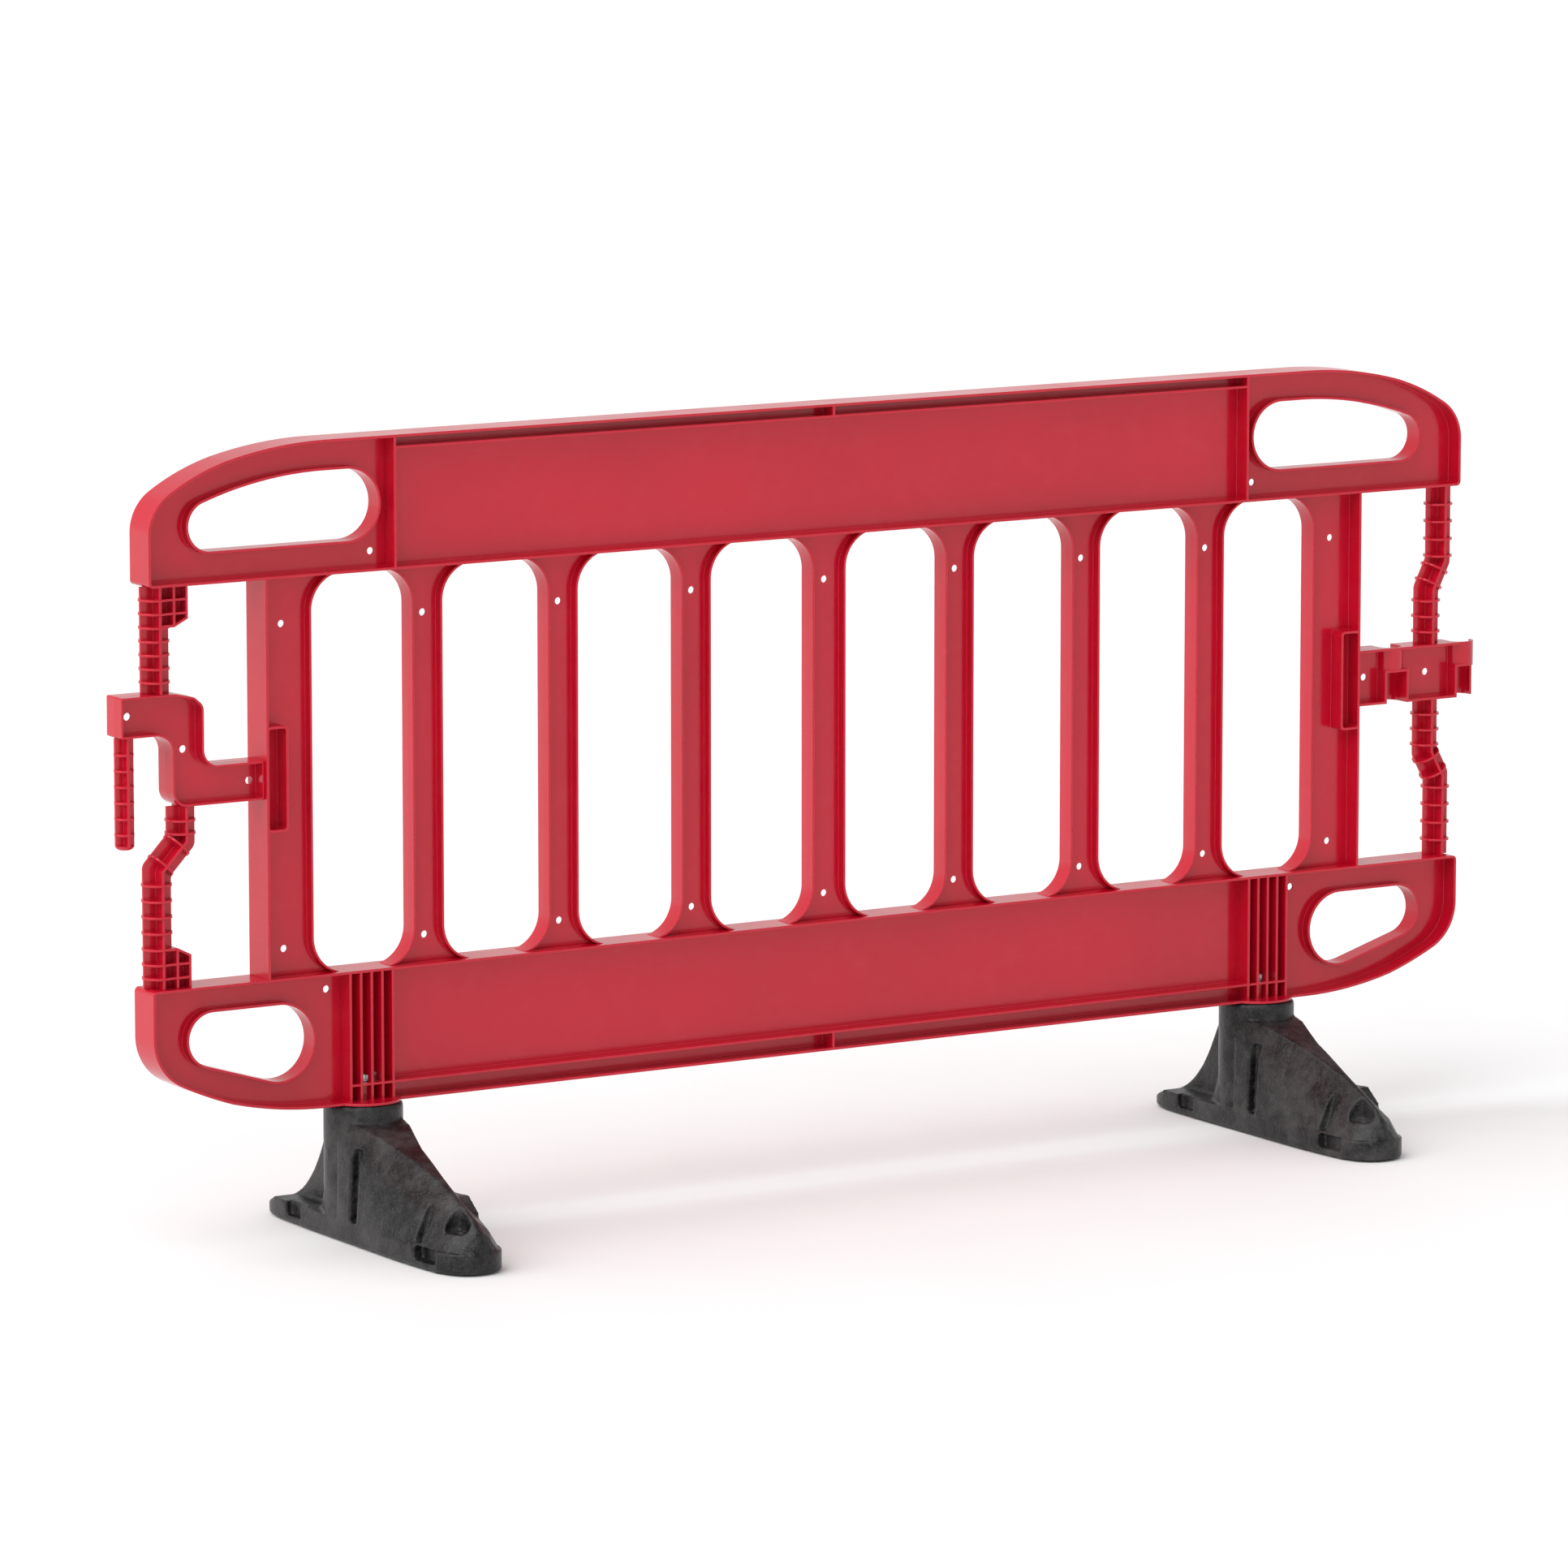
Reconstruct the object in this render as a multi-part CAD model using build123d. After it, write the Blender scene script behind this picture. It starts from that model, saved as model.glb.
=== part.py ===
"""Interlocking pedestrian barrier: one open-ribbed moulded panel and two rubber feet.

Panel, hook arm, link bracket and guard bars are zones of a single moulding (flush, touching faces).
Each foot is a rubber block on a steel peg that turns in a hub under the panel.
Millimetres, +Z up, origin on the ground in the middle of the footprint.
"""
import os
from math import atan2, cos, degrees, hypot, pi, sin

from build123d import *

os.makedirs("parts", exist_ok=True)

# ---------------------------------------------------------------- driving dimensions
OFFSET_Y = 51.5            # panel mid-plane behind the middle of the footprint
HALF_LEN = 1015.0          # half of the overall length
TOP_Z, TOP_BAND_Z = 999.5, 832.7
LOW_BAND_Z, LOW_Z = 337.0, 169.6
DEEP = 24.7                # half depth of the two bands and the end posts
SHALLOW = 13.4             # half depth of bars, slot rims and handle rims
ARM_DEEP = 19.2            # half depth of hook arm, link bracket and guard bars
WEB = 1.5                  # half thickness of the central web
WALL = 3.2                 # flange and rim thickness
DRAFT = 1.1                # mould draft each side of the mid-plane, degrees
WING_X = 978.0             # outer end of the wings
BAND_RIB_X = 637.5         # outer face of the vertical rib that ends each band
BAR_X = (0.0, 197.2, 391.4, 585.5)   # bar centres, mirrored
BAR_HALF, MID_BAR_HALF = 21.8, 24.9
POST_IN, POST_OUT = 748.3, 818.2     # end post
POST_HOLE_X = 784.1
SLOT_R = 46.0
HOLE_R = 4.6
HOLE_Z = (773.7, 369.9)
FOOT_X = 673.5             # foot pivot
RIB_PITCH = 15.0
PIN_X, PIN_R = -1002.3, 12.7
SOCKET_X = (882.0, 995.8)  # the two link sockets
SOCKET_R = 16.0
PEG_R, PEG_FIT = 10.0, 0.05
GUARD_X = 959.3
GUARD_R = 19.2
NECK_R = 49.6


# ---------------------------------------------------------------- helpers
def face_xz(wire_or_face):
    """Move a sketch drawn as (x, z) into the panel plane."""
    return Plane.XZ * wire_or_face


def slab(face, half, cy=0.0):
    """Plate of half thickness `half` centred on the mid-plane."""
    s = extrude(face_xz(face), amount=half, both=True)
    return Pos(0, cy, 0) * s if cy else s


def drafted(face, half, draft=DRAFT):
    """Ribs that thin towards both faces."""
    try:
        a = extrude(face_xz(face), amount=half, taper=draft)
    except ValueError:
        print("straight walls used")
        a = extrude(face_xz(face), amount=half)
    return a + mirror(a, about=Plane.XZ)


def box(x0, x1, z0, z1, half, y0=None):
    y0 = -half if y0 is None else y0
    return Pos((x0 + x1) / 2, (y0 + half) / 2, (z0 + z1) / 2) * Box(
        abs(x1 - x0), half - y0, abs(z1 - z0))


def rect(x0, x1, z0, z1, r=0.0):
    f = Rectangle(abs(x1 - x0), abs(z1 - z0))
    if r:
        f = fillet(f.vertices(), r)
    return Pos((x0 + x1) / 2, (z0 + z1) / 2) * f


def y_hole(x, z, r=HOLE_R):
    return Pos(x, 0, z) * (Rot(90, 0, 0) * Cylinder(r, 12))


def z_cyl(x, y, z0, z1, r):
    return Pos(x, y, (z0 + z1) / 2) * Cylinder(r, z1 - z0)


def one(shape):
    """Single solid out of a boolean result."""
    sol = shape.solids()
    return sol[0] if len(sol) == 1 else Compound(children=list(sol))


NODES = {}


def keep(name, shape):
    shape = Pos(0, OFFSET_Y, 0) * shape
    sol = shape.solids()
    print(name, len(sol), round(sum(s.volume for s in sol) / 1000, 1), "cm3", flush=True)
    NODES[name] = one(shape)
    NODES[name].label = name


# ---------------------------------------------------------------- outlines drawn as (x, z)
def upper_outline(m):
    """Right half of the top band with its drooping wing."""
    e = Line((0, TOP_Z), (730, TOP_Z))
    a1 = ThreePointArc((730, TOP_Z), (802, 994.9), (868, 982.2))
    a2 = ThreePointArc((868, 982.2), (918, 963.6), (952, 944.6))
    a3 = ThreePointArc((952, 944.6), (971.5, 922.5), (WING_X, 892))
    l1 = Line((WING_X, 892), (WING_X, TOP_BAND_Z + 6))
    c = ThreePointArc((WING_X, TOP_BAND_Z + 6), (WING_X - 1.76, TOP_BAND_Z + 1.76),
                      (WING_X - 6, TOP_BAND_Z))
    l2 = Line((WING_X - 6, TOP_BAND_Z), (0, TOP_BAND_Z))
    l3 = Line((0, TOP_BAND_Z), (0, TOP_Z))
    return make_face([e, a1, a2, a3, l1, c, l2, l3])


def lower_outline(m):
    e = Line((0, LOW_Z), (735, LOW_Z))
    a1 = ThreePointArc((735, LOW_Z), (802, 173.9), (870, 187.2))
    a2 = ThreePointArc((870, 187.2), (913, 203.2), (942, 216.6))
    a3 = ThreePointArc((942, 216.6), (969.5, 243.2), (WING_X, 278))
    l1 = Line((WING_X, 278), (WING_X, LOW_BAND_Z - 6))
    c = ThreePointArc((WING_X, LOW_BAND_Z - 6), (WING_X - 1.76, LOW_BAND_Z - 1.76),
                      (WING_X - 6, LOW_BAND_Z))
    l2 = Line((WING_X - 6, LOW_BAND_Z), (0, LOW_BAND_Z))
    l3 = Line((0, LOW_BAND_Z), (0, LOW_Z))
    return make_face([e, a1, a2, a3, l1, c, l2, l3])


def full_outline(half_face):
    return Sketch() + [half_face, mirror(half_face, about=Plane.YZ)]


def hull2(c1, r1, c2, r2, grow=0.0):
    """Outline round two circles joined by their common tangents."""
    r1, r2 = r1 + grow, r2 + grow
    dx, dz = c2[0] - c1[0], c2[1] - c1[1]
    d, base = hypot(dx, dz), atan2(dz, dx)
    off = atan2((d * d - (r1 - r2) ** 2) ** 0.5, r1 - r2)
    def at(c, r, a):
        return (c[0] + r * cos(a), c[1] + r * sin(a))
    a_up, a_dn = base + off, base - off
    p1, p2 = at(c1, r1, a_up), at(c2, r2, a_up)
    q1, q2 = at(c1, r1, a_dn), at(c2, r2, a_dn)
    return make_face([
        ThreePointArc(p1, at(c1, r1, base + pi), q1), Line(q1, q2),
        ThreePointArc(q2, at(c2, r2, base), p2), Line(p2, p1)])


def upper_handle():
    """Grip opening of the top wing: big inner end, small outer end, cambered top."""
    z0, z1 = 871.0, 960.2
    ri, ro = (z1 - z0) / 2, 31.0
    ci, co = (697.3, (z0 + z1) / 2), (886.6, z0 + ro)
    s = (co[0] + ro * cos(1.15), co[1] + ro * sin(1.15))
    return make_face([
        ThreePointArc((ci[0], z1), (ci[0] - ri, ci[1]), (ci[0], z0)),
        Line((ci[0], z0), (co[0], z0)),
        ThreePointArc((co[0], z0), (co[0] + ro * cos(-0.21), co[1] + ro * sin(-0.21)), s),
        ThreePointArc(s, (829, 950.0), (735, z1)),
        Line((735, z1), (ci[0], z1))])


def lower_handle(grow=0.0):
    return hull2((797.0, 254.5), 47.8, (889.4, 268.3), 34.0, grow)


# ---------------------------------------------------------------- bands (top and bottom)
ribs = DEEP

up_face = full_outline(upper_outline(1))
up_ring = up_face - offset(up_face, -WALL)
lo_face = full_outline(lower_outline(1))
lo_ring = lo_face - offset(lo_face, -WALL)

h_up = upper_handle()
h_up_out = offset(h_up, WALL)
h_lo = lower_handle()
h_lo_out = lower_handle(WALL)

upper = slab(up_face, WEB) + drafted(up_ring, DEEP)
lower = slab(lo_face, WEB) + drafted(lo_ring, DEEP)
for s in (1, -1):
    for band, (hole, rim) in (("u", (h_up, h_up_out)), ("l", (h_lo, h_lo_out))):
        f_h, f_r = (hole, rim) if s > 0 else (mirror(hole, about=Plane.YZ),
                                               mirror(rim, about=Plane.YZ))
        wall = slab(Sketch() + f_r - f_h, SHALLOW)
        cut = slab(f_h, WEB + 1)
        if band == "u":
            upper = upper - cut + wall
        else:
            lower = lower - cut + wall

# long ribs under the top edge and over the bottom edge, end ribs and the short middle rib
upper += box(-BAND_RIB_X + 1, BAND_RIB_X - 1, 982.3, 985.3, DEEP)
lower += box(-FOOT_X - 30, FOOT_X + 30, 191.7, 194.6, DEEP)
upper += box(-WALL / 2, WALL / 2, 984, TOP_Z - 1, DEEP)
lower += box(-WALL / 2, WALL / 2, LOW_Z + 1, 193, DEEP)
for s in (1, -1):
    upper += box(s * (BAND_RIB_X - WALL), s * BAND_RIB_X, TOP_BAND_Z + 1, TOP_Z - 1, DEEP)
    for i in range(-2, 3):
        x = s * FOOT_X + i * RIB_PITCH
        lower += box(x - WALL / 2, x + WALL / 2, LOW_Z + 1, LOW_BAND_Z - 1, DEEP)

# fixing holes in the wings
for s in (1, -1):
    upper -= y_hole(s * 658.6, 855.0)
    lower -= y_hole(s * 725.1, 313.7)

# foot hubs: bearing pad, hub, clearance for the retaining ring
HUB_TOP = 194.6
for s in (1, -1):
    x = s * FOOT_X
    lower += z_cyl(x, 0, LOW_Z, LOW_Z + WALL, 47.0)
    lower += z_cyl(x, 0, LOW_Z, HUB_TOP, 13.0)
    lower -= z_cyl(x, 0, LOW_Z - 1, HUB_TOP + 1, PEG_R + PEG_FIT)
    lower -= z_cyl(x, 0, HUB_TOP, HUB_TOP + 9.0, 16.0)

SPLIT_U = BAND_RIB_X
SPLIT_L = FOOT_X + 2 * RIB_PITCH + WALL / 2 + 0.2
SPLIT_I = FOOT_X - 2 * RIB_PITCH - WALL / 2 - 0.2
BIG = 60
PAD = 48.0


def cut_x(shape, x0, x1, z0, z1):
    return shape & box(x0, x1, z0, z1, BIG)


keep("upper_rail", cut_x(upper, -SPLIT_U, SPLIT_U, 700, 1100))
keep("left_upper_wing", cut_x(upper, -1200, -SPLIT_U, 700, 1100))
keep("right_upper_wing", cut_x(upper, SPLIT_U, 1200, 700, 1100))

# the round bearing pads belong whole to the foot housings
pads = None
for s in (1, -1):
    p = z_cyl(s * FOOT_X, 0, LOW_Z, LOW_Z + WALL, 47.0)
    pads = p if pads is None else pads + p
for name, s in (("left_foot_socket", -1), ("right_foot_socket", 1)):
    zone = box(s * SPLIT_I, s * SPLIT_L, 100, 400, BIG) + z_cyl(s * FOOT_X, 0, LOW_Z - 5,
                                                               LOW_Z + WALL, 47.0)
    keep(name, lower & zone)
rest = lower - pads
keep("lower_rail", cut_x(rest, -SPLIT_I, SPLIT_I, 100, 400))
keep("left_lower_wing", cut_x(rest, -1200, -SPLIT_L, 100, 400))
keep("right_lower_wing", cut_x(rest, SPLIT_L, 1200, 100, 400))

# ---------------------------------------------------------------- bars between the slots
slots = []
edges = [(-POST_IN, -BAR_X[3] - BAR_HALF)]
centres = [-x for x in BAR_X[:0:-1]] + list(BAR_X)
for a, b in zip(centres, centres[1:]):
    ha = MID_BAR_HALF if a == 0 else BAR_HALF
    hb = MID_BAR_HALF if b == 0 else BAR_HALF
    edges.append((a + ha, b - hb))
edges.append((BAR_X[3] + BAR_HALF, POST_IN))

ZA, ZB = LOW_BAND_Z, TOP_BAND_Z
clip = rect(-POST_OUT, POST_OUT, ZA, ZB)
slot_walls, slot_holes = [], []
for x0, x1 in edges:
    hole = rect(x0, x1, ZA - 1, ZB + 1, SLOT_R)
    rim = rect(x0 - WALL, x1 + WALL, ZA - 1 - WALL, ZB + 1 + WALL, SLOT_R + WALL)
    slot_holes.append(hole)
    slot_walls.append(drafted(Sketch() + rim - hole, SHALLOW))

cuts = [slab(h, WEB + 1) for h in slot_holes]
mid = [(a + b) / 2 for a, b in edges]


def field(x0, x1, walls, holes, deep=BIG):
    """Web and slot rims between two x positions, trimmed to the space between the bands."""
    body = slab(rect(x0, x1, ZA, ZB), WEB)
    for c in holes:
        body -= c
    zone = box(x0, x1, ZA, ZB, deep)
    for w in walls:
        body += w & zone
    return body


for i, x in enumerate(centres):
    bar = field(mid[i], mid[i + 1], slot_walls[i:i + 2], cuts[i:i + 2])
    for z in HOLE_Z:
        bar -= y_hole(x, z)
    keep(f"bar_{i + 1}", bar)

# ---------------------------------------------------------------- end posts with box pockets
for name, s in (("left_post", -1), ("right_post", 1)):
    i = 0 if s < 0 else len(edges) - 1
    xa, xb = sorted((s * POST_OUT, mid[i]))
    post = field(xa, xb, [slot_walls[i]], [cuts[i]])
    fl = rect(*sorted((s * (POST_OUT - WALL), s * POST_OUT)), ZA, ZB)
    post += drafted(fl, DEEP) & box(-1200, 1200, ZA, ZB, BIG)
    outer = rect(*sorted((s * 788.0, s * (POST_OUT - 1.0))), 519.8, 650.8, 5)
    inner = rect(*sorted((s * 791.0, s * (POST_OUT - WALL))), 522.8, 647.8, 3)
    post += slab(Sketch() + outer - inner, DEEP)
    post += box(*sorted((s * (POST_OUT - WALL), s * POST_OUT)), ZA, ZB, DEEP)
    for z in HOLE_Z:
        post -= y_hole(s * POST_HOLE_X, z)
    keep(name, post)


# ---------------------------------------------------------------- guard bars
def strip(pts, half, cap0=0.0, cap1=0.0):
    """Band of constant half width along a polyline, mitred at the bends."""
    n = len(pts)
    left, right = [], []
    for i, (x, z) in enumerate(pts):
        d = []
        if i > 0:
            d.append((x - pts[i - 1][0], z - pts[i - 1][1]))
        if i < n - 1:
            d.append((pts[i + 1][0] - x, pts[i + 1][1] - z))
        d = [(a / hypot(a, b), b / hypot(a, b)) for a, b in d]
        nx, nz = -sum(q[1] for q in d), sum(q[0] for q in d)
        k = hypot(nx, nz)
        nx, nz = nx / k, nz / k
        scale = half / (nx * -d[0][1] + nz * d[0][0])
        left.append((x + nx * scale, z + nz * scale))
        right.append((x - nx * scale, z - nz * scale))
    return make_face(Polyline(*left, *right[::-1], close=True))


def guard(pts, discs, extra=None):
    """Cross-section of two crossed ribs following a path, tied by round collars."""
    f1 = strip(pts, GUARD_R)
    if len(pts) > 2:
        inner = [v for v in f1.vertices() if min(abs(v.Y - pts[0][1]), abs(v.Y - pts[-1][1])) > 12]
        f1 = fillet(inner, 14)
    body = slab(f1, WEB) + slab(strip(pts, 1.7), GUARD_R - 1.0)
    for x, z, tilt in discs:
        body += Pos(x, 0, z) * (Rot(0, tilt, 0) * Cylinder(GUARD_R, 2.8))
    if extra is not None:
        body += extra
    return body


def gusset(s, z_rail, z_end, rows, up):
    """Ribbed corner block beside a guard bar, chamfered at its free end."""
    x0, x1, x2 = s * GUARD_X, s * (GUARD_X - 19.4), s * (GUARD_X - 38.2)
    k = 1 if up else -1
    poly = [(x0, z_rail), (x2, z_rail), (x2, z_end + k * 9.5), (x1, z_end), (x0, z_end)]
    web = make_face(Polyline(*poly, close=True))
    body = slab(web, WEB)
    half = GUARD_R - 2.0
    body += box(x1 - 1.6, x1 + 1.6, z_rail, z_end + k * 1.5, half)
    rim = [(x0, z_end), (x1, z_end), (x2, z_end + k * 9.5)]
    inn = [(p[0], p[1] + k * 3.2) for p in rim]
    rimf = make_face(Polyline(*rim, *inn[::-1], close=True))
    body += slab(rimf, half)
    body += box(x2, x2 + s * 2.8, z_rail, z_end + k * 9.5, half)
    for z in rows:
        body += box(x0, x2 + s * 1.0, z - 1.4, z + 1.4, half)
    return body


def trim(shape, z0, z1):
    return shape & box(-1200, 1200, z0, z1, BIG)


ARM_TOP, ARM_MID_TOP, ARM_BOT = 701.0, 609.0, 560.6
CLIP_TOP, CLIP_BOT = 622.2, 548.6

lu = guard([(-GUARD_X, TOP_BAND_Z + 2), (-GUARD_X, ARM_TOP - 2)],
           [(-GUARD_X, 815.9 - 16.8 * i, 0) for i in range(7)],
           gusset(-1, TOP_BAND_Z + 1, 782.4, (816.0, 799.1), True))
keep("left_upper_guard", trim(lu, ARM_TOP, TOP_BAND_Z))

X2 = -926.0
path = [(X2, ARM_BOT + 2), (X2, 517.5), (-GUARD_X, 482.5), (-GUARD_X, LOW_BAND_Z - 2)]
tilt = degrees(atan2(33.3, 35.0))
dl = [(X2, 543.0, 0), (X2, 527.0, 0), (-931.4, 511.5, tilt), (-953.6, 488.6, tilt)]
dl += [(-GUARD_X, z, 0) for z in (465.4, 445.7, 425.8, 406.1, 386.0, 367.2, 350.0)]
ll = guard(path, dl, gusset(-1, LOW_BAND_Z - 1, 387.4, (367.2, 350.0), False))
keep("left_lower_guard", trim(ll, LOW_BAND_Z, ARM_BOT))

X3 = 941.0
path = [(GUARD_X, TOP_BAND_Z + 2), (GUARD_X, 732.0), (X3, 695.0), (X3, CLIP_TOP - 2)]
tilt = degrees(atan2(18.3, 37.0))
du = [(GUARD_X, z, 0) for z in (807.6, 784.6, 761.0, 738.6)]
du += [(954.2, 721.6, tilt), (944.6, 702.0, tilt)]
du += [(X3, z, 0) for z in (680.0, 659.2, 638.8)]
ru = guard(path, du)
keep("right_upper_guard", trim(ru, CLIP_TOP, TOP_BAND_Z))

path = [(X3, CLIP_BOT + 2), (X3, 478.0), (GUARD_X, 444.0), (GUARD_X, LOW_BAND_Z - 2)]
tilt = -degrees(atan2(18.3, 34.0))
dd = [(X3, z, 0) for z in (528.4, 507.6, 487.2)]
dd += [(943.8, 471.4, tilt), (955.4, 449.8, tilt)]
dd += [(GUARD_X, z, 0) for z in (429.0, 405.4, 381.8, 358.4)]
rl = guard(path, dd)
keep("right_lower_guard", trim(rl, LOW_BAND_Z, CLIP_BOT))

# ---------------------------------------------------------------- hook arm and hook pin
XE = -HALF_LEN
arm_pts = [(XE, ARM_TOP), (-940, ARM_TOP), (-914, 695), (-901.4, 684), (-901.4, ARM_MID_TOP),
           (-POST_OUT, ARM_MID_TOP), (-POST_OUT, ARM_BOT), (-945.0, ARM_BOT),
           (-945.0, 650.2), (XE, 650.2)]
arm_face = make_face(Polyline(*arm_pts, close=True))


def vert(f, x, z):
    return min(f.vertices(), key=lambda v: hypot(v.X - x, v.Y - z))


for (x, z), r in (((-901.4, ARM_MID_TOP), 20), ((-945.0, 650.2), 22), ((-945.0, ARM_BOT), 20),
                  ((-901.4, 684), 14), ((-914, 695), 9), ((-940, ARM_TOP), 30), ((XE, ARM_TOP), 2.5),
                  ((XE, 650.2), 2.5)):
    arm_face = fillet(vert(arm_face, x, z), r)
arm_ring = arm_face - offset(arm_face, -WALL)
arm = slab(arm_face, WEB) + drafted(arm_ring, ARM_DEEP)
arm = arm & box(-1200, -POST_OUT, 400, 800, BIG)
for x, z in ((-997.6, 675.0), (-921.6, 629.4), (-831.0, 583.6)):
    arm -= y_hole(x, z, 4.8)
keep("hook_arm", arm)

PIN_BOT, PIN_TOP = 511.5, 650.2
pin_env = z_cyl(PIN_X, 0, PIN_BOT, PIN_TOP, PIN_R)
low_edge = pin_env.edges().filter_by(GeomType.CIRCLE).sort_by(Axis.Z)[0]
pin_env = fillet(low_edge, 8.0)
pin = z_cyl(PIN_X, 0, PIN_BOT, PIN_BOT + 5.5, PIN_R)
pin += box(PIN_X - PIN_R, PIN_X + PIN_R, PIN_BOT, PIN_TOP, 1.7)
pin += Pos(PIN_X, 0, (PIN_BOT + PIN_TOP) / 2) * Box(3.4, 2 * PIN_R, PIN_TOP - PIN_BOT)
for i in range(6):
    pin += z_cyl(PIN_X, 0, 627.7 - 19.7 * i, 630.4 - 19.7 * i, PIN_R - 0.3)
keep("hook_pin", pin & pin_env)

# ---------------------------------------------------------------- link bracket with two sockets
XL = POST_OUT
R0, R1 = SOCKET_R, SOCKET_R + WALL
MID_Z0, MID_Z1 = 589.6, 592.8
br = box(XL, SOCKET_X[1], CLIP_BOT, CLIP_TOP, WEB)
br += box(XL, SOCKET_X[1], CLIP_TOP - WALL, CLIP_TOP, ARM_DEEP)
br += box(XL, SOCKET_X[1], CLIP_BOT, CLIP_BOT + WALL, ARM_DEEP)
for k, x in enumerate(SOCKET_X):
    br += z_cyl(x, 0, CLIP_BOT, CLIP_TOP, R1)
    # upper half opens to the back, lower half opens to the front
    br += box(x - R1, x + (R1 if k == 0 else 0), MID_Z0, CLIP_TOP, ARM_DEEP, 0)
    br += box(x - R1, x + (R1 if k == 0 else 0), CLIP_BOT, MID_Z1, 0, -ARM_DEEP)
for k, x in enumerate(SOCKET_X):
    br -= z_cyl(x, 0, CLIP_BOT - 1, CLIP_TOP + 1, R0)
    br -= box(x - R0, x + R0 + (20 if k else 0), MID_Z1, CLIP_TOP + 1, 40, 0.0)
    br -= box(x - R0, x + R0 + (20 if k else 0), CLIP_BOT - 1, MID_Z0, -4.0 if k else 0.0, -40)
    # mid plate keeps only what is outside the bore
br -= box(SOCKET_X[1] + R1 + 0.01, SOCKET_X[1] + 60, CLIP_BOT - 1, CLIP_TOP + 1, 40)
br &= box(XL, HALF_LEN, CLIP_BOT, CLIP_TOP, ARM_DEEP)
for x in (840.8, 940.7):
    br -= y_hole(x, 584.0, 4.8)
keep("link_bracket", br)

# ---------------------------------------------------------------- feet
TOE, HEEL, BASE_TOP = -300.0, 197.0, 27.0
NECK_TOP, PEG_TOP = LOW_Z - 0.4, 203.0
# half width of the sole along the foot (x, y), toe to heel
SOLE = ((0, TOE), (17, -297), (32, -286), (42.5, -264), (48, -226), (50.5, -180), (51, -100),
        (51, 0), (50.5, 70), (49, 125), (44.5, 160), (34, 182), (18, 194), (0, HEEL))
# spine in front of the neck: y, half width at the base, bulge of the flank (x, z), half width
# of the top, height
SPINE = ((-20, 51, 48, 120, 40, 150), (-60, 51, 46, 108, 32, 145), (-90, 51, 42, 98, 23, 136),
         (-117, 50.5, 37, 90, 16, 127), (-150, 50, 33, 80, 11, 117), (-200, 48.5, 29, 68, 4.5, 99),
         (-229, 46.5, 27, 62, 2.5, 87), (-251, 44, 25, 56, 2, 77), (-272, 37, 22, 50, 2, 66),
         (-287, 27, 16, 42, 2, 54), (-296, 15, 9, 34, 2, 40))


def profile(*pts, x0, x1):
    """Solid with an outline given as (y, z), between two x positions."""
    f = Plane.YZ * make_face(Polyline(*pts, close=True))
    return Pos(x0, 0, 0) * extrude(f, amount=x1 - x0, dir=(1, 0, 0))


def across(pts, y0, y1):
    """Solid with an outline given as (x, z), between two y positions."""
    f = Plane.XZ * make_face(Polyline(*pts, close=True))
    return Pos(0, y0, 0) * extrude(f, amount=y1 - y0, dir=(0, 1, 0))


def spine_section(y, base, bulge, z_bulge, top, z):
    pts = [(-base, 12), (-base, BASE_TOP - 1), (-bulge, z_bulge), (-top, z)]
    pts += [(-x, h) for x, h in pts[::-1]]
    return (Plane.XZ.offset(-y) * make_face(Polyline(*pts, close=True))).face()


def foot_block():
    side = Spline(*SOLE)
    outline = make_face([side, mirror(side, about=Plane.YZ)])
    base = Pos(0, 0, 2) * extrude(outline, amount=BASE_TOP - 2, dir=(0, 0, 1))
    # tread cleats under the sole
    for i in range(19):
        y = -279 + i * 25.5
        w = 42 if TOE + 45 < y < HEEL - 45 else 17
        base += Pos(0, y, 1.5) * Box(2 * w, 7, 3.0)
    base -= profile((148, 26), (200, 7), (200, 40), (148, 40), x0=-60, x1=60)
    neck = z_cyl(0, 0, 8, NECK_TOP, NECK_R)
    neck = fillet(neck.edges().filter_by(GeomType.CIRCLE).sort_by(Axis.Z)[-1], 6)
    spine = loft([spine_section(*v) for v in SPINE], ruled=True)
    skirt = loft([(Plane.XY.offset(14) * Ellipse(45, 82)).face(),
                  (Plane.XY.offset(104) * Ellipse(39, 45)).face()])
    # hollow-sided fin behind the neck
    fin = make_face([Line((20, 20), (20, 158)), Line((20, 158), (46, 158)),
                     Spline((46, 158), (68, 128), (84, 98), (98, 75), (119, 50), (143, 32), (176, 20)),
                     Line((176, 20), (20, 20))])
    fin = extrude(Plane.YZ * fin, amount=13, both=True)
    # raised stop block on one flank, bolt-down pocket in the toe
    block = profile((-165, 26), (-165, 82), (-222, 84), (-246, 66), (-246, 26), x0=4, x1=24)
    body = base + neck + spine + skirt + fin + block
    body -= z_cyl(-14, -262, 48, 120, 16.5) & Pos(-43, -262, 80) * Box(80, 60, 90)
    body -= z_cyl(-14, -262, 0, 60, 6.5)
    # shallow windows in the sides of the base, tall grooves in the flanks
    for s in (1, -1):
        for ya, yb, x in ((-255, -211, 35), (73, 111, 40)):
            body -= Pos(s * (x + 15), (ya + yb) / 2, 19) * Box(30, yb - ya, 18)
        body -= across([(s * 34, 119), (s * 60, 126), (s * 60, 29), (s * 38, 29)], -69, -53)
        if s < 0:
            body -= across([(s * 18, 76), (s * 60, 76), (s * 60, 31), (s * 32, 31)], -222, -206)
    body -= z_cyl(0, 0, 120, 200, PEG_R)
    return body


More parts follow.
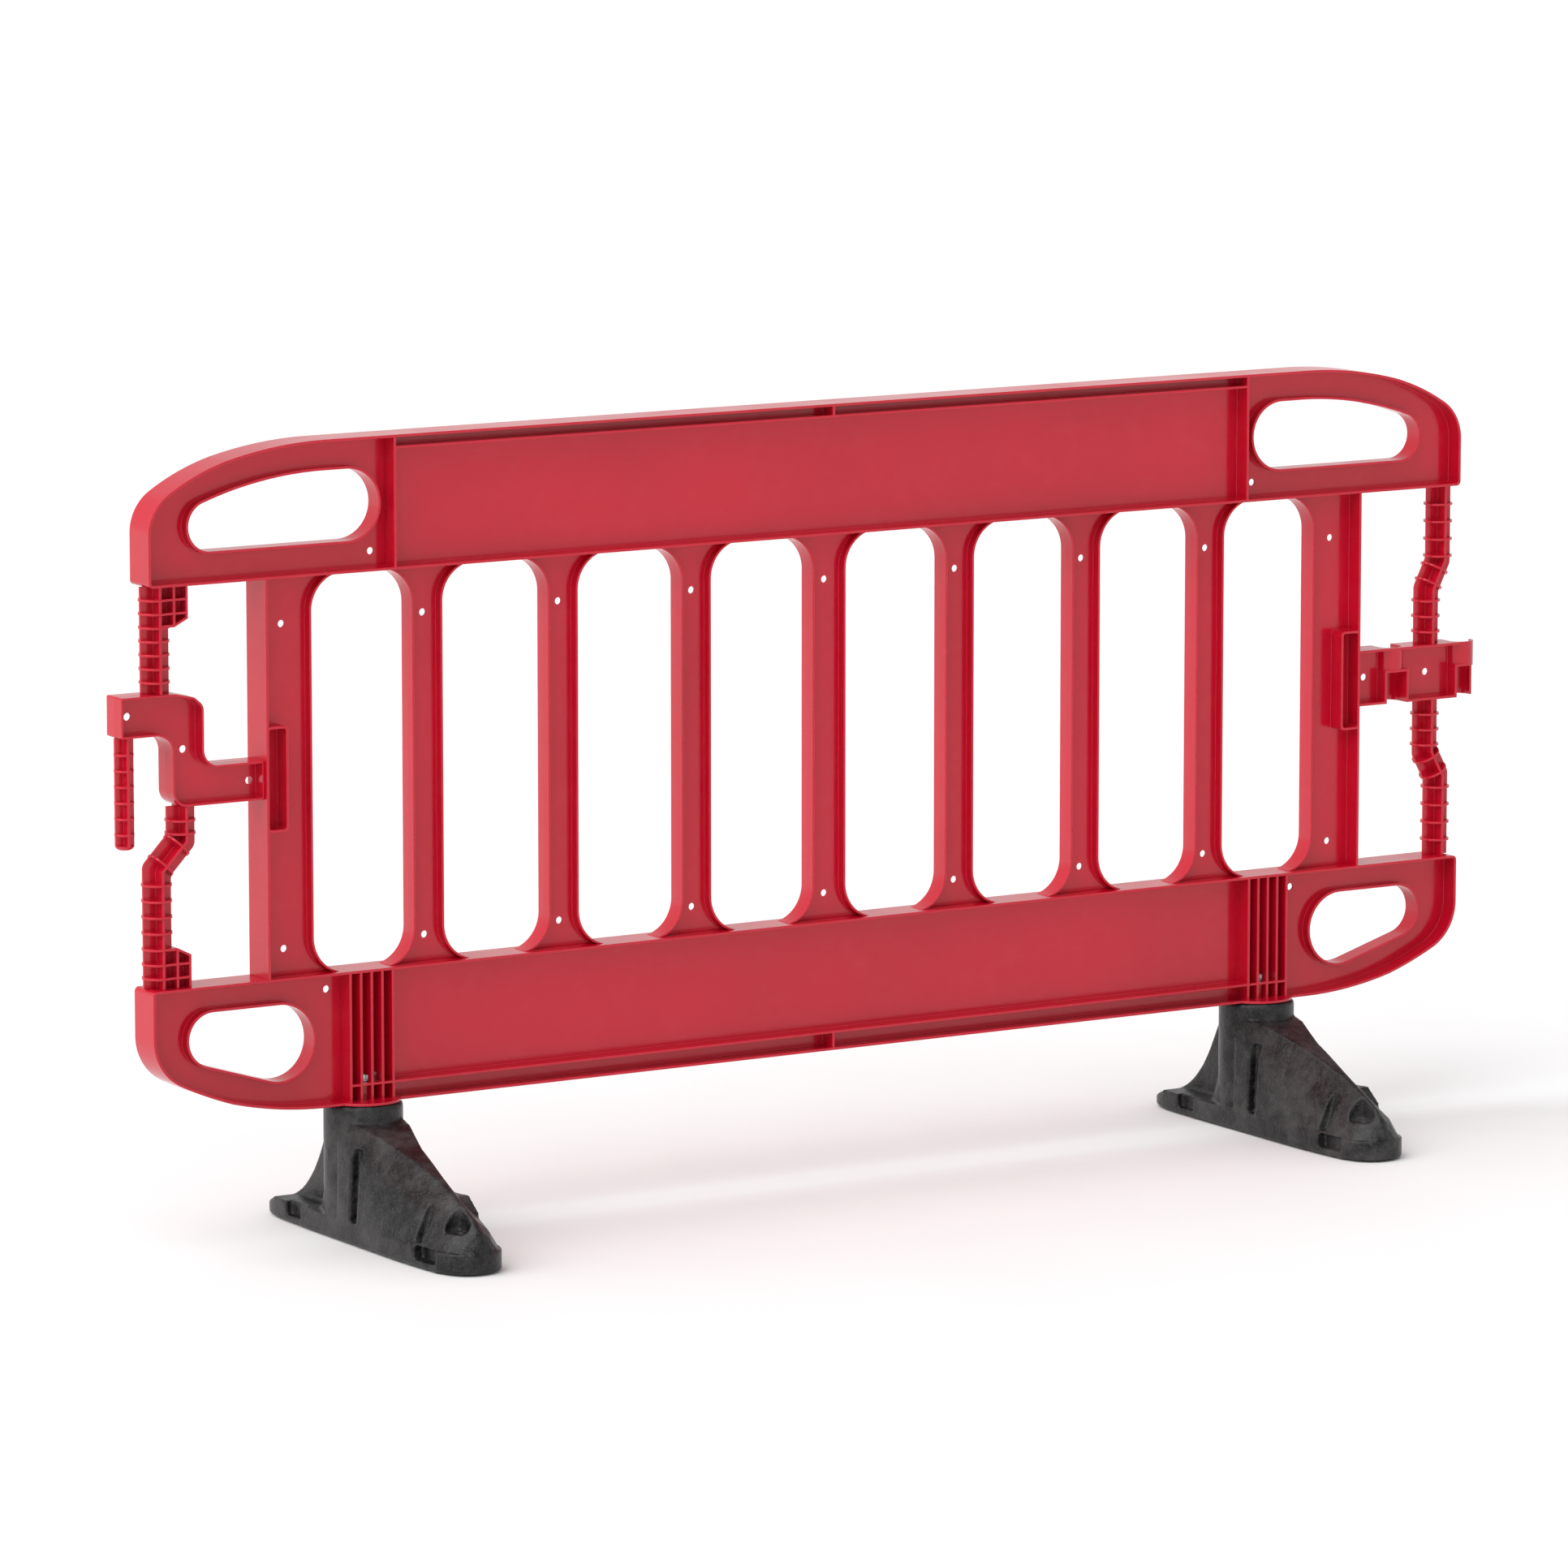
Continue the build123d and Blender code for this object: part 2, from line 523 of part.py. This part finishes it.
peg = z_cyl(0, 0, 120, PEG_TOP, PEG_R)
peg = chamfer(peg.edges().filter_by(GeomType.CIRCLE), 1.0)
groove_z = HUB_TOP + 0.4
peg -= z_cyl(0, 0, groove_z, groove_z + 1.8, PEG_R + 2) - z_cyl(0, 0, groove_z - 1, groove_z + 3, 8.6)
ring = z_cyl(0, 0, groove_z, groove_z + 1.8, 14.0) - z_cyl(0, 0, groove_z - 1, groove_z + 3, 8.6)
ring -= Pos(11, 0, groove_z + 1) * Box(8, 5, 6)

foot = foot_block()
for name, s in (("left", -1), ("right", 1)):
    at = Pos(s * FOOT_X, 0, 0)
    keep(f"{name}_foot", at * foot)
    keep(f"{name}_foot_peg", at * peg)
    keep(f"{name}_peg_ring", at * ring)

# ---------------------------------------------------------------- export
xs = [b for s in NODES.values() for b in (s.bounding_box().min, s.bounding_box().max)]
print("nodes", len(NODES))
print("box", [round(f(getattr(v, a) for v in xs), 2) for a in ("X", "Y", "Z") for f in (min, max)])
for name, shape in NODES.items():
    export_step(shape, f"parts/{name}.step")
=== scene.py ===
"""Looks for the interlocking pedestrian barrier: red panel, mottled rubber feet, steel peg and ring."""
from math import cos, radians, sin

import bpy
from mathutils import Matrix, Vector


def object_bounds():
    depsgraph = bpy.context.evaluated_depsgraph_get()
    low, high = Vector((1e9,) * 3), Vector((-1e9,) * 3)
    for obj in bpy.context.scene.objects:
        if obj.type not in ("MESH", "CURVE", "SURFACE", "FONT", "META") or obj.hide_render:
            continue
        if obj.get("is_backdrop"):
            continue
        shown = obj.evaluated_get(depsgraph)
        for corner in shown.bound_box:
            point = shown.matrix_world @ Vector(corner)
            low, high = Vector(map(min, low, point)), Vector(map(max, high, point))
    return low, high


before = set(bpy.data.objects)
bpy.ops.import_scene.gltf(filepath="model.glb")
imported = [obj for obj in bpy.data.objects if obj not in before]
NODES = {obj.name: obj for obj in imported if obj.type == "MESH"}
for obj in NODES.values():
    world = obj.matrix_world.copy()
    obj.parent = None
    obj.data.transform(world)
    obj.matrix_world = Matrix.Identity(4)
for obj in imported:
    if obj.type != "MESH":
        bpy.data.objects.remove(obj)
CAD_LOW, CAD_HIGH = (Vector(v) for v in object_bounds())

# ---------------------------------------------------------------- numbers
# Colours are linear RGB, lengths are metres and angles are degrees.
RED = (0.57, 0.0025, 0.023)
RED_DEEP = (0.50, 0.0020, 0.018)         # clouds in the plastic
RED_EDGE_HIGHLIGHT = (0.88, 0.012, 0.045)          # painted highlight: light line along the edges, where a rounded edge catches light
RED_SCUFF = (0.84, 0.12, 0.14)
RED_ROUGH = 0.17
RED_EDGE_R = 0.0015
RUBBER = (0.0055, 0.0055, 0.006)
RUBBER_LIGHT = (0.085, 0.082, 0.081)     # the pale blotches
# painted highlight colour for the feet's edges
RUBBER_EDGE_HIGHLIGHT = (0.060, 0.058, 0.059)
RUBBER_SPECK = (0.085, 0.083, 0.083)
RUBBER_EDGE_R = 0.0022
STEEL = (0.56, 0.56, 0.57)
STEEL_STAIN = (0.36, 0.34, 0.32)
STEEL_EDGE_R = 0.0004
FLOOR_PALE = (0.90, 0.90, 0.90)
FLOOR_PALER = (0.93, 0.93, 0.93)
FLOOR_HALF = 40.0
FLOOR_GAP = 0.0005                       # between the floor and the feet
FOOT_VOXEL = 0.0019
FOOT_SOFT_FACTOR, FOOT_SOFT_ROUNDS = 0.5, 4
SKY_LOW, SKY_HIGH = 0.90, 0.36           # strength of the sky at the horizon and overhead
SUN_FROM = (-0.74, -0.04, 0.95)
SUN_POWER, SUN_ANGLE = 2.6, 70
CAM_AT = (-6.0153, -9.5637, 2.2845)
CAM_YAW, CAM_PITCH = 31.776, 8.891
CAM_REACH = 200.0
LENS, SENSOR = 206.9, 36.0               # mm


# ---------------------------------------------------------------- node helpers
class Tree:
    """Short calls for building one material."""

    def __init__(self, name):
        self.mat = bpy.data.materials.new(name)
        self.mat.use_nodes = True
        self.t = self.mat.node_tree
        self.bsdf = self.t.nodes["Principled BSDF"]
        self.coord = self.t.nodes.new("ShaderNodeTexCoord").outputs["Object"]

    def new(self, kind, **inputs):
        n = self.t.nodes.new("ShaderNode" + kind)
        for k, v in inputs.items():
            self.put(n.inputs[k.replace("_", " ")], v)
        return n

    def put(self, socket, v):
        """Link a socket, or set a plain value."""
        if isinstance(v, bpy.types.NodeSocket):
            self.t.links.new(v, socket)
        else:
            socket.default_value = v

    def noise(self, scale, detail=3.0, rough=0.5, stretch=None):
        v = self.coord
        if stretch:
            v = self.new("Mapping", Scale=stretch, Vector=v).outputs["Vector"]
        return self.new("TexNoise", Scale=scale, Detail=detail, Roughness=rough, Vector=v).outputs["Fac"]

    def ramp(self, fac, lo, hi, a=0.0, b=1.0):
        """Map lo..hi to a..b, clamped."""
        n = self.new("MapRange", Value=fac, From_Min=lo, From_Max=hi, To_Min=a, To_Max=b)
        n.clamp = True
        return n.outputs["Result"]

    def math(self, op, a, b):
        n = self.t.nodes.new("ShaderNodeMath")
        n.operation = op
        self.put(n.inputs[0], a)
        self.put(n.inputs[1], b)
        return n.outputs[0]

    def mix(self, fac, a, b):
        n = self.t.nodes.new("ShaderNodeMix")
        n.data_type = "RGBA"
        for k, v in ((0, fac), (6, a), (7, b)):
            self.put(n.inputs[k], (*v, 1) if isinstance(v, tuple) else v)
        return n.outputs[2]

    def bump(self, strength, distance, height, normal):
        n = self.new("Bump", Strength=strength, Distance=distance, Height=height, Normal=normal)
        return n.outputs["Normal"]

    def edge(self, radius):
        """A mask, 0 on flat faces and 1 on the tip of an edge, and the normal rounded over that edge."""
        bevel = self.new("Bevel", Radius=radius)
        bevel.samples = 6
        geo = self.t.nodes.new("ShaderNodeNewGeometry")
        dot = self.t.nodes.new("ShaderNodeVectorMath")
        dot.operation = "DOT_PRODUCT"
        self.put(dot.inputs[0], bevel.outputs["Normal"])
        self.put(dot.inputs[1], geo.outputs["True Normal"])
        return self.ramp(dot.outputs["Value"], 0.995, 0.86), bevel.outputs["Normal"]

    def set(self, **inputs):
        """Set or link the shader's own sockets."""
        for k, v in inputs.items():
            self.put(self.bsdf.inputs[k.replace("_", " ")], v)


# ---------------------------------------------------------------- materials
def red_plastic():
    """Semi-gloss moulding with faint clouds, a little dust and a painted highlight along its edges."""
    t = Tree("red_moulded_plastic")
    edge, rounded = t.edge(RED_EDGE_R)
    cloud = t.noise(3.2, 4.0, 0.55)
    streak = t.noise(9.0, 3.0, 0.5, stretch=(1.0, 1.0, 4.0))
    col = t.mix(t.ramp(cloud, 0.35, 0.7), RED, RED_DEEP)
    dust = t.math("MULTIPLY", t.ramp(t.noise(26.0, 6.0, 0.62), 0.5, 0.78), 0.05)
    col = t.mix(dust, col, RED_SCUFF)
    # Painted highlight: the edges are lightened towards a pale red, as a rounded edge catching light,
    # broken up by noise; the same mask makes the edges a little rougher.
    edge_highlight = t.math("MULTIPLY", edge, t.ramp(t.noise(38.0, 4.0, 0.6), 0.3, 0.7, 0.55, 0.9))
    col = t.mix(edge_highlight, col, RED_EDGE_HIGHLIGHT)
    rough = t.math("ADD", t.ramp(streak, 0.3, 0.75, RED_ROUGH - 0.05, RED_ROUGH + 0.07),
                   t.math("MULTIPLY", edge_highlight, 0.14))
    waves = t.bump(0.05, 0.004, t.noise(9.0, 2.0, 0.45), rounded)
    t.set(Base_Color=col, Roughness=rough, Normal=waves, IOR=1.5)
    return t.mat


def foot_rubber():
    """Dark recycled rubber: pale blotches, grains pressed together and fine specks."""
    t = Tree("recycled_rubber")
    edge, rounded = t.edge(RUBBER_EDGE_R)
    cells = t.new("TexVoronoi", Scale=300.0, Vector=t.coord)
    grain = t.ramp(cells.outputs["Distance"], 0.1, 0.75)
    cloud = t.ramp(t.noise(15.0, 9.0, 0.62), 0.46, 0.74)
    blot = t.ramp(t.noise(75.0, 7.0, 0.68), 0.42, 0.70)
    fac = t.math("ADD", t.math("MULTIPLY", cloud, 0.75), t.math("MULTIPLY", blot, 0.38))
    col = t.mix(fac, RUBBER, RUBBER_LIGHT)
    col = t.mix(t.math("MULTIPLY", grain, 0.25), col, RUBBER)
    # Painted highlight: the edges are lightened towards a paler grey, as a rounded edge catching light.
    col = t.mix(t.math("MULTIPLY", edge, 0.45), col, RUBBER_EDGE_HIGHLIGHT)
    speck = t.ramp(t.noise(480.0, 1.0, 0.5), 0.64, 0.70)
    col = t.mix(t.math("MULTIPLY", speck, 0.45), col, RUBBER_SPECK)
    waves = t.bump(0.35, 0.006, t.noise(28.0, 3.0, 0.5), rounded)
    pits = t.bump(0.35, 0.0007, t.math("ADD", grain, t.noise(220.0, 5.0, 0.6)), waves)
    t.set(Base_Color=col, Roughness=t.ramp(fac, 0.0, 1.0, 0.32, 0.56), Normal=pits, IOR=1.45,
          Specular_IOR_Level=0.35)
    return t.mat


def steel():
    """Turned steel with a few stains."""
    t = Tree("turned_steel")
    rounded = t.edge(STEEL_EDGE_R)[1]
    lines = t.noise(60.0, 3.0, 0.5, stretch=(1.0, 1.0, 40.0))
    stain = t.noise(90.0, 5.0, 0.6)
    t.set(Base_Color=t.mix(t.ramp(stain, 0.45, 0.75), STEEL, STEEL_STAIN), Metallic=1.0,
          Roughness=t.ramp(stain, 0.3, 0.8, 0.24, 0.48), Normal=t.bump(0.12, 0.0004, lines, rounded))
    return t.mat


def studio_floor():
    t = Tree("studio_floor")
    t.set(Base_Color=t.mix(t.ramp(t.noise(2.0), 0.3, 0.7), FLOOR_PALE, FLOOR_PALER), Roughness=0.75)
    return t.mat


# ---------------------------------------------------------------- CAD nodes
def dress_nodes():
    """Each CAD node stays as it is and gets its material."""
    red, rubber, metal = red_plastic(), foot_rubber(), steel()
    for name, ob in NODES.items():
        ob.data.materials.clear()
        ob.data.materials.append(metal if name.endswith(("_foot_peg", "_peg_ring")) else
                                 rubber if name in ("left_foot", "right_foot") else red)


def soften(foot):
    """Round a rubber foot's edges as its mould does."""
    skin = foot.modifiers.new("skin", "REMESH")
    skin.mode, skin.voxel_size, skin.use_smooth_shade = "VOXEL", FOOT_VOXEL, True
    soft = foot.modifiers.new("soft", "SMOOTH")
    soft.factor, soft.iterations = FOOT_SOFT_FACTOR, FOOT_SOFT_ROUNDS


# ---------------------------------------------------------------- stage
def add(name, data):
    """A new object in the scene."""
    ob = bpy.data.objects.new(name, data)
    bpy.context.scene.collection.objects.link(ob)
    return ob


def add_floor():
    me = bpy.data.meshes.new("floor")
    s = FLOOR_HALF
    me.from_pydata([(-s, -s, 0), (s, -s, 0), (s, s, 0), (-s, s, 0)], [], [(0, 1, 2, 3)])
    me.materials.append(studio_floor())
    floor = add("floor", me)
    floor.location.z = CAD_LOW.z - FLOOR_GAP
    floor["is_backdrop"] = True


def add_sky():
    """White where the camera sees it, and for the light a sky that is brightest at the horizon."""
    world = bpy.data.worlds.new("studio")
    bpy.context.scene.world = world
    world.use_nodes = True
    t = world.node_tree
    path = t.nodes.new("ShaderNodeLightPath")
    where = t.nodes.new("ShaderNodeTexCoord")
    split = t.nodes.new("ShaderNodeSeparateXYZ")
    sky = t.nodes.new("ShaderNodeMapRange")
    sky.inputs["To Min"].default_value = SKY_LOW
    sky.inputs["To Max"].default_value = SKY_HIGH
    level = t.nodes.new("ShaderNodeMapRange")
    level.inputs["To Max"].default_value = 1.0
    back = t.nodes["Background"]
    back.inputs["Color"].default_value = (1.0, 1.0, 1.0, 1)
    for out, into in ((where.outputs["Generated"], split.inputs[0]),
                      (split.outputs["Z"], sky.inputs["Value"]),
                      (sky.outputs["Result"], level.inputs["To Min"]),
                      (path.outputs["Is Camera Ray"], level.inputs["Value"]),
                      (level.outputs["Result"], back.inputs["Strength"])):
        t.links.new(out, into)


def add_sun():
    sun = bpy.data.lights.new("soft_top_light", "SUN")
    sun.energy, sun.angle = SUN_POWER, radians(SUN_ANGLE)
    add("soft_top_light", sun).rotation_euler = (-Vector(SUN_FROM)).to_track_quat("-Z", "Y").to_euler()


def add_camera():
    lens = bpy.data.cameras.new("camera")
    lens.lens, lens.sensor_width, lens.sensor_fit = LENS, SENSOR, "AUTO"
    lens.clip_end = CAM_REACH
    yaw, pitch = radians(CAM_YAW), radians(CAM_PITCH)
    aim = Vector((sin(yaw) * cos(pitch), cos(yaw) * cos(pitch), -sin(pitch)))
    camera = add("camera", lens)
    camera.location = CAM_AT
    camera.rotation_euler = aim.to_track_quat("-Z", "Y").to_euler()
    bpy.context.scene.camera = camera


dress_nodes()
for foot_name in ("left_foot", "right_foot"):
    soften(NODES[foot_name])
add_floor()
add_sky()
add_sun()
add_camera()
bpy.context.scene.view_settings.view_transform = "Standard"
bpy.context.scene.view_settings.look = "None"
